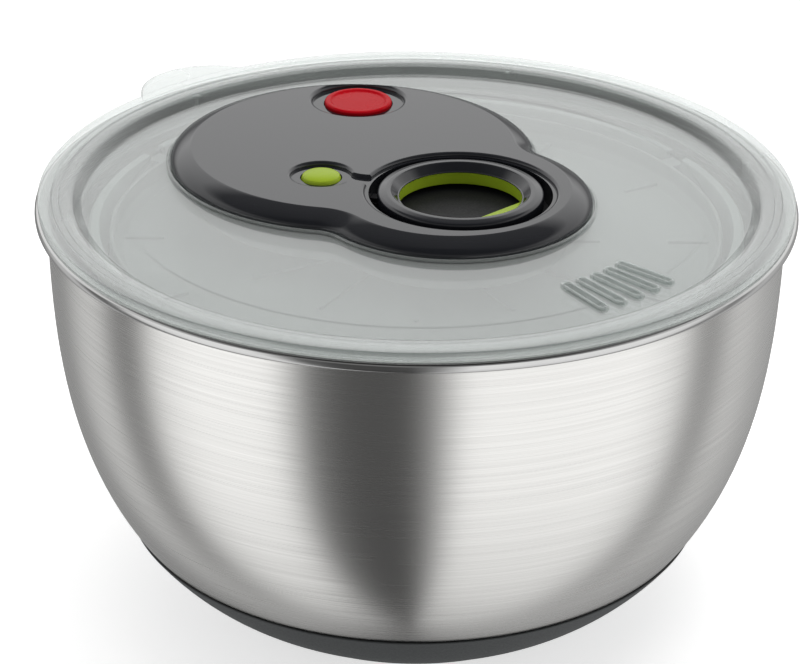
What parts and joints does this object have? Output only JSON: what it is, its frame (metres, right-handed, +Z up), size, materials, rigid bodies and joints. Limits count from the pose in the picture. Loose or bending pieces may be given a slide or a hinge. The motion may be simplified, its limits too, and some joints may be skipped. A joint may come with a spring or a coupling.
{
  "type": "salad spinner",
  "caption": "Steel bowl on a dark non-slip base, with a slotted basket inside and a clear lid that carries a pull-cord drive, a brake button and a release button.",
  "frame": {"origin": "centre of the base cap's underside, on the drive axis", "axes": "+Z up along the drive axis; the camera side of the object, with the vent slots, faces -Y"},
  "size_m": [0.262, 0.262, 0.1529],
  "materials": {
    "steel": "brushed in fine horizontal lines, polished lip",
    "base_rubber": "matt non-slip",
    "clear_plastic": "clear, polished",
    "frosted_plastic": "translucent, frosted",
    "black_gloss": "high gloss",
    "dark_plastic": "satin",
    "white_plastic": "natural acetal",
    "lime_plastic": "satin gloss",
    "red_plastic": "gloss",
    "bright_steel": "bright drawn steel",
    "shoe_rubber": "matt",
    "cord": "braided"
  },
  "bodies": {
    "bowl": {"bowl": "steel", "base_cap": "base_rubber", "pivot_foot": "dark_plastic", "pivot_pin": "bright_steel"},
    "bush": {"basket_bush": "white_plastic"},
    "basket": {"basket": "frosted_plastic"},
    "lid": {"lid": "clear_plastic", "housing_cover": "black_gloss", "gear_tray": "frosted_plastic", "tray_screw_1": "bright_steel", "tray_screw_2": "bright_steel", "tray_screw_3": "bright_steel", "tray_screw_4": "bright_steel", "spool_axle": "bright_steel", "drive_axle": "bright_steel", "rewind_spring": "bright_steel", "cord_run": "cord", "cord_eyelet": "bright_steel", "plate_clip": "bright_steel", "pull_cord": "cord", "stop_spring": "bright_steel", "release_spring": "bright_steel"},
    "plate": {"drive_plate": "frosted_plastic", "clutch_drum": "white_plastic"},
    "ring": {"pull_ring": "black_gloss", "ring_insert": "lime_plastic"},
    "spool": {"cord_spool": "white_plastic", "cord_winding": "cord"},
    "pinion": {"drive_pinion": "white_plastic", "pawl_carrier": "white_plastic", "clutch_pawl_1": "bright_steel", "clutch_pawl_2": "bright_steel"},
    "stop": {"stop_button": "red_plastic", "brake_shoe": "shoe_rubber"},
    "release": {"release_button": "lime_plastic"},
    "latch": {"ring_latch": "dark_plastic"}
  },
  "joints": [
    {"name": "basket_lift", "type": "slide", "parent": "bowl", "child": "bush", "axis": [0, 0, 1], "range_m": [0, 0.16]},
    {"name": "basket_spin", "type": "hinge", "parent": "bush", "child": "basket", "pos_m": [0, 0, 0.02], "axis": [0, 0, 1], "continuous": true},
    {"name": "lid_lift", "type": "slide", "parent": "bush", "child": "lid", "axis": [0, 0, 1], "range_m": [0, 0.2]},
    {"name": "plate_spin", "type": "hinge", "parent": "lid", "child": "plate", "pos_m": [0, 0, 0.1281], "axis": [0, 0, 1], "continuous": true},
    {"name": "ring_pull", "type": "slide", "parent": "lid", "child": "ring", "axis": [0, 0, 1], "range_m": [0, 0.4], "deforming": ["pull_cord"]},
    {"name": "spool_spin", "type": "hinge", "parent": "lid", "child": "spool", "pos_m": [-0.02065, 0.02949, 0.1392], "axis": [0, 0, 1], "range_deg": [-1411, 5]},
    {"name": "pinion_spin", "type": "hinge", "parent": "lid", "child": "pinion", "pos_m": [0, 0, 0.1392], "axis": [0, 0, 1], "range_deg": [-5, 4223.1]},
    {"name": "stop_press", "type": "slide", "parent": "lid", "child": "stop", "axis": [0, 0, -1], "range_m": [0, 0.0025], "stiffness_N_per_m": 400, "springref_m": -0.003, "deforming": ["stop_spring"]},
    {"name": "release_press", "type": "slide", "parent": "lid", "child": "release", "axis": [0, 0, -1], "range_m": [0, 0.002], "stiffness_N_per_m": 300, "springref_m": -0.002, "deforming": ["release_spring"]},
    {"name": "latch_slide", "type": "slide", "parent": "lid", "child": "latch", "axis": [-0.9652, 0.2614, 0], "range_m": [-0.0001, 0.0021]}
  ],
  "couplings": [
    {"joint": "plate_spin", "follows": "basket_spin", "ratio": 1},
    {"joint": "spool_spin", "follows": "ring_pull", "rad_per_m": -61.35},
    {"joint": "pinion_spin", "follows": "ring_pull", "rad_per_m": 184.05},
    {"joint": "latch_slide", "follows": "release_press", "ratio": 1}
  ]
}
